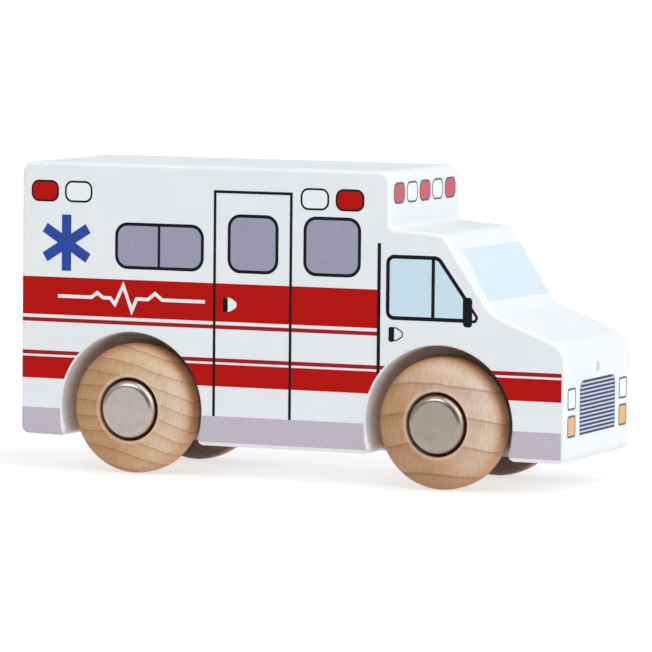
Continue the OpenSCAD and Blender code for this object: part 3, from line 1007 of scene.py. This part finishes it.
def front_print():
    """The lamps, the grille and the badge on the nose, the roof lamps and the windscreen."""
    for side in (RIGHT, LEFT):
        for name, (up, ink) in NOSE_LAMPS.items():
            lamp = centred_corners(side * NOSE_LAMP_Y + FRONT_PRINT_Y, up, NOSE_LAMP)
            outlined_print(f"{name}_{SIDE_NAMES[side]}", lamp, LAMP_LINE, [TEAL_INK, ink], NOSE_FACE)
    grille_print()
    plain_print("nose_badge", centred_corners(FRONT_PRINT_Y, BADGE_Z, BADGE), BADGE_INK, NOSE_FACE)
    middle_lamp = len(ROOF_LAMP_INKS) // 2
    for step, ink in enumerate(ROOF_LAMP_INKS):
        across = (step - middle_lamp) * ROOF_LAMP_PITCH + FRONT_PRINT_Y
        lamp = centred_corners(across, ROOF_LAMP_Z, ROOF_LAMP)
        outlined_print(f"roof_lamp_{step + 1}", lamp, ROOF_LAMP_LINE, [TEAL_INK, ink], BOX_FACE)
    plain_print("windscreen", SCREEN, SCREEN_INK, SCREEN_FACE)


# Print on the rear face, by y and z
REAR_BANDS = {
    "rear_main_band": (MAIN_BAND, RED_INK), "rear_upper_line": (UPPER_LINE, LINE_INK),
    "rear_lower_line": (LOWER_LINE, LINE_INK), "rear_lower_band": (LOWER_BAND, RED_INK),
}
REAR_DOOR_HALF = 17.2
REAR_DOOR = (SILL[1], 66.24)
REAR_WINDOW_Y, REAR_WINDOW_HALF, REAR_WINDOW_TOP = 8.75, 6, 60.7
REAR_HANDLE_Y, REAR_HANDLE_HALF = 2.2, 0.6
TAIL_LAMP = (3.6, 4.2, 1.1)
TAIL_LAMP_Y, TAIL_LAMP_Z = 14.2, 17.9


def rear_print():
    """The bands, and two doors, each with a window, a handle and a tail lamp."""
    edge = SIDE_Y - SIDE_EDGE
    for name, ((low, high), ink) in REAR_BANDS.items():
        plain_print(name, box_corners(-edge, edge, low, high), ink, TAIL_FACE)
    doors = box_corners(-REAR_DOOR_HALF, REAR_DOOR_HALF, *REAR_DOOR)
    line_print("rear_door_line", doors, DOOR_LINE, BLACK_INK, TAIL_FACE, layers=2)
    gap = box_corners(-DOOR_LINE / 2, DOOR_LINE / 2, *REAR_DOOR)
    plain_print("rear_door_gap", gap, BLACK_INK, TAIL_FACE, layers=2)
    for side in (RIGHT, LEFT):
        tag = "_" + SIDE_NAMES[side]
        across = side * REAR_WINDOW_Y
        left, right = across - REAR_WINDOW_HALF, across + REAR_WINDOW_HALF
        window = box_corners(left, right, WINDOW_LOW, REAR_WINDOW_TOP, WINDOW_CORNER)
        outlined_print("rear_door_window" + tag, window, WINDOW_LINE, [BLACK_INK, WINDOW_INK], TAIL_FACE)
        across = side * REAR_HANDLE_Y
        handle = box_corners(across - REAR_HANDLE_HALF, across + REAR_HANDLE_HALF, *DOOR_HANDLE[2:])
        plain_print("rear_door_handle" + tag, handle, BLACK_INK, TAIL_FACE, layers=2)
        lamp = centred_corners(side * TAIL_LAMP_Y, TAIL_LAMP_Z, TAIL_LAMP)
        outlined_print("tail_lamp" + tag, lamp, LAMP_LINE, [BLACK_INK, RED_INK], TAIL_FACE)


side_print(RIGHT)
side_print(LEFT)
front_print()
rear_print()


# Wheels and caps

def axle_place(end, side):
    """Puts a piece that is turned about z onto an axle, with z out to the left or the right."""
    upright = Matrix.Rotation(-side * QUARTER_TURN, 4, "X")
    return Matrix.Translation((AXLE_X[end], 0, AXLE_Z)) @ upright


def turned_piece(name, corners, end, side, finish, body):
    """Turns a section of (radius, height, rounding) corners about z, and sets it on its axle."""
    mesh = bmesh.new()
    rounded_face(mesh, corners)
    bmesh.ops.delete(mesh, geom=mesh.faces[:], context="FACES_ONLY")
    on_axis = [edge for edge in mesh.edges if all(vert.co.x < SAME_PLACE for vert in edge.verts)]
    bmesh.ops.delete(mesh, geom=on_axis, context="EDGES")
    stand = Matrix.Rotation(QUARTER_TURN, 3, "X")
    bmesh.ops.rotate(mesh, verts=mesh.verts, cent=(0, 0, 0), matrix=stand)
    section = mesh.verts[:] + mesh.edges[:]
    bmesh.ops.spin(
        mesh, geom=section, cent=(0, 0, 0), axis=(0, 0, 1), angle=math.tau, steps=TURN_STEPS, use_merge=True,
    )
    bmesh.ops.remove_doubles(mesh, verts=mesh.verts, dist=SAME_PLACE)
    piece = finish_piece(name, mesh, [finish], body, axle_place(end, side), math.inf)
    for face in piece.data.polygons:
        face.use_smooth = abs(face.normal.y) < ALONG_AXLE
    return piece


def turned_wheel(end, side, finish):
    """A wheel with rounded edges, a boss on its inner face and a recess for the cap in its outer face."""
    name = f"{end}_{SIDE_NAMES[side]}_wheel"
    section = [
        (BORE_RADIUS, BOSS_FACE, 0), (BOSS_RADIUS, BOSS_FACE, BOSS_EDGE),
        (BOSS_RADIUS, WHEEL_INNER, BOSS_EDGE), (WHEEL_RADIUS, WHEEL_INNER, WHEEL_EDGE),
        (WHEEL_RADIUS, WHEEL_OUTER, WHEEL_EDGE),
        (RECESS_RADIUS, WHEEL_OUTER, RECESS_RIM), (RECESS_RADIUS, RECESS_FLOOR, RECESS_CORNER),
        (BORE_RADIUS, RECESS_FLOOR, 0),
    ]
    wheel = turned_piece("turned_" + name, section, end, side, finish, name)
    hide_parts(name)


def pressed_cap(end, side):
    """A cap with a rounded shoulder and a lip rolled in at its foot."""
    name = f"{end}_{SIDE_NAMES[side]}_cap"
    inside, lip = CAP_RADIUS - CAP_SHEET, CAP_RADIUS - CAP_SHEET - CAP_LIP
    ceiling, lip_top = CAP_TOP - CAP_SHEET, CAP_FOOT + CAP_SHEET
    section = [
        (0, CAP_TOP, 0), (0, ceiling, 0), (inside, ceiling, CAP_SHOULDER - CAP_SHEET),
        (inside, lip_top, CAP_BEND), (lip, lip_top, CAP_BEND), (lip, CAP_FOOT, CAP_BEND),
        (CAP_RADIUS, CAP_FOOT, CAP_FOOT_EDGE), (CAP_RADIUS, CAP_TOP, CAP_SHOULDER),
    ]
    cap = turned_piece("pressed_" + name, section, end, side, CAP_PLATE[end], end + "_axle")
    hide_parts(name)


# Two tints of the wood, the second a painted shade for the two far wheels; how each wheel was cut from its
# tree; and the side of its painted light, with its angles in degrees
WARM, FAR_SHADE_TINT = (1, 0.98, 0.9), (0.95, 0.92, 0.85)
WHEEL_GRAIN = {
    ("front", RIGHT): dict(tilt=-1, ring_gap=6.8, ring_shift=1, tint=WHITE, painted_shade_share=1, lit_side=30),
    ("rear", RIGHT): dict(tilt=-13, ring_gap=3.4, ring_shift=0, tint=WARM, painted_shade_share=0.95, lit_side=10),
    ("front", LEFT): dict(tilt=20, ring_gap=4.2, ring_shift=3, tint=FAR_SHADE_TINT, painted_shade_share=0.7, lit_side=35),
    ("rear", LEFT): dict(tilt=-35, ring_gap=5, ring_shift=2, tint=FAR_SHADE_TINT, painted_shade_share=0.8, lit_side=15),
}
for (end, side), cut in WHEEL_GRAIN.items():
    grain = beech(f"beech_{end}_{SIDE_NAMES[side]}", AXLE_X[end], **cut)
    turned_wheel(end, side, grain)
    pressed_cap(end, side)

for name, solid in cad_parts.items():
    if name.endswith(("axle", "spring_nut")):
        solid.data.materials.clear()
        solid.data.materials.append(AXLE_STEEL if name.endswith("axle") else SPRING_STEEL)


# Floor, light and camera

# The floor's radius in metres
FLOOR_RADIUS = 30
FLOOR_STEPS = 96


def floor():
    """A pale floor just under the wheels, wide enough to fill the view."""
    mesh = bmesh.new()
    under = Matrix.Translation((0, 0, -PRINT_KEY * MM))
    bmesh.ops.create_circle(mesh, cap_ends=True, radius=FLOOR_RADIUS, segments=FLOOR_STEPS, matrix=under)
    data = bpy.data.meshes.new("studio_floor")
    mesh.to_mesh(data)
    mesh.free()
    data.materials.append(pale_floor())
    ground = bpy.data.objects.new("studio_floor", data)
    bpy.context.scene.collection.objects.link(ground)


# Where the surround is dim, and how far around that, in degrees
CAMERA_SIDE = Vector((0, -0.975, 0.22))
DIM_INNER, DIM_OUTER = 12, 30


def studio_sky(low, high, dim_share):
    """A white surround, brighter overhead than at the horizon and dim around the photographer's place."""
    sky = bpy.data.worlds.new("studio_sky")
    sky.use_nodes = True
    direction = add_node(sky, "TexCoord").outputs["Generated"]
    height = add_node(sky, "SeparateXYZ", Vector=direction).outputs["Z"]
    nearness = worked_out(sky, "DOT_PRODUCT", direction, CAMERA_SIDE.normalized(), kind="VectorMath")
    dim = add_node(
        sky, "MapRange", {"interpolation_type": "SMOOTHSTEP"}, Value=nearness, To_Min=1, To_Max=dim_share,
        From_Min=math.cos(math.radians(DIM_OUTER)), From_Max=math.cos(math.radians(DIM_INNER)),
    )
    strength = worked_out(sky, "MULTIPLY", ranged(sky, height, low, high), dim.outputs["Result"])
    background = sky.node_tree.nodes["Background"]
    plug_in(sky, background, "Color", WHITE)
    plug_in(sky, background, "Strength", strength)
    bpy.context.scene.world = sky


def soft_sun(name, towards, strength, spread, colour):
    """A wide, soft light that falls along one direction, with its spread in degrees."""
    data = bpy.data.lights.new(name, "SUN")
    data.color = colour
    data.energy = strength
    data.angle = math.radians(spread)
    lamp = bpy.data.objects.new(name, data)
    lamp.rotation_mode = "QUATERNION"
    lamp.rotation_quaternion = Vector(towards).to_track_quat("-Z", "Y")
    bpy.context.scene.collection.objects.link(lamp)


# The camera, with its angles in degrees and its reach in metres
PHOTO_SIZE = 652
SENSOR = 36
FOCAL_PIXELS = 5099.3
CAMERA_PLACE = Vector((461.65, -1078.6, 125.36)) * MM
CAMERA_YAW, CAMERA_PITCH, CAMERA_ROLL = 23.153, 4.44, 0.553
CAMERA_REACH = 100


def photo_camera():
    """The camera at the photograph's place and angle."""
    data = bpy.data.cameras.new("photo_camera")
    data.sensor_width = SENSOR
    data.lens = FOCAL_PIXELS * SENSOR / PHOTO_SIZE
    data.clip_end = CAMERA_REACH
    camera = bpy.data.objects.new("photo_camera", data)
    turn = Matrix.Rotation(math.radians(CAMERA_YAW), 4, "Z")
    tilt = Matrix.Rotation(QUARTER_TURN - math.radians(CAMERA_PITCH), 4, "X")
    roll = Matrix.Rotation(math.radians(CAMERA_ROLL), 4, "Z")
    camera.matrix_world = Matrix.Translation(CAMERA_PLACE) @ turn @ tilt @ roll
    bpy.context.scene.collection.objects.link(camera)
    bpy.context.scene.camera = camera


COOL_WHITE = (0.96, 0.99, 1)
floor()
studio_sky(low=0.45, high=0.8, dim_share=0.25)
soft_sun("overhead_softbox", towards=(-0.55, 0.2, -0.81), strength=1.3, spread=70, colour=COOL_WHITE)
soft_sun("front_softbox", towards=(-0.92, 0.15, -0.36), strength=0.95, spread=60, colour=COOL_WHITE)
soft_sun("side_softbox", towards=(0.32, 0.754, -0.574), strength=0.57, spread=28, colour=WHITE)
photo_camera()
bpy.context.scene.view_settings.view_transform = "Standard"
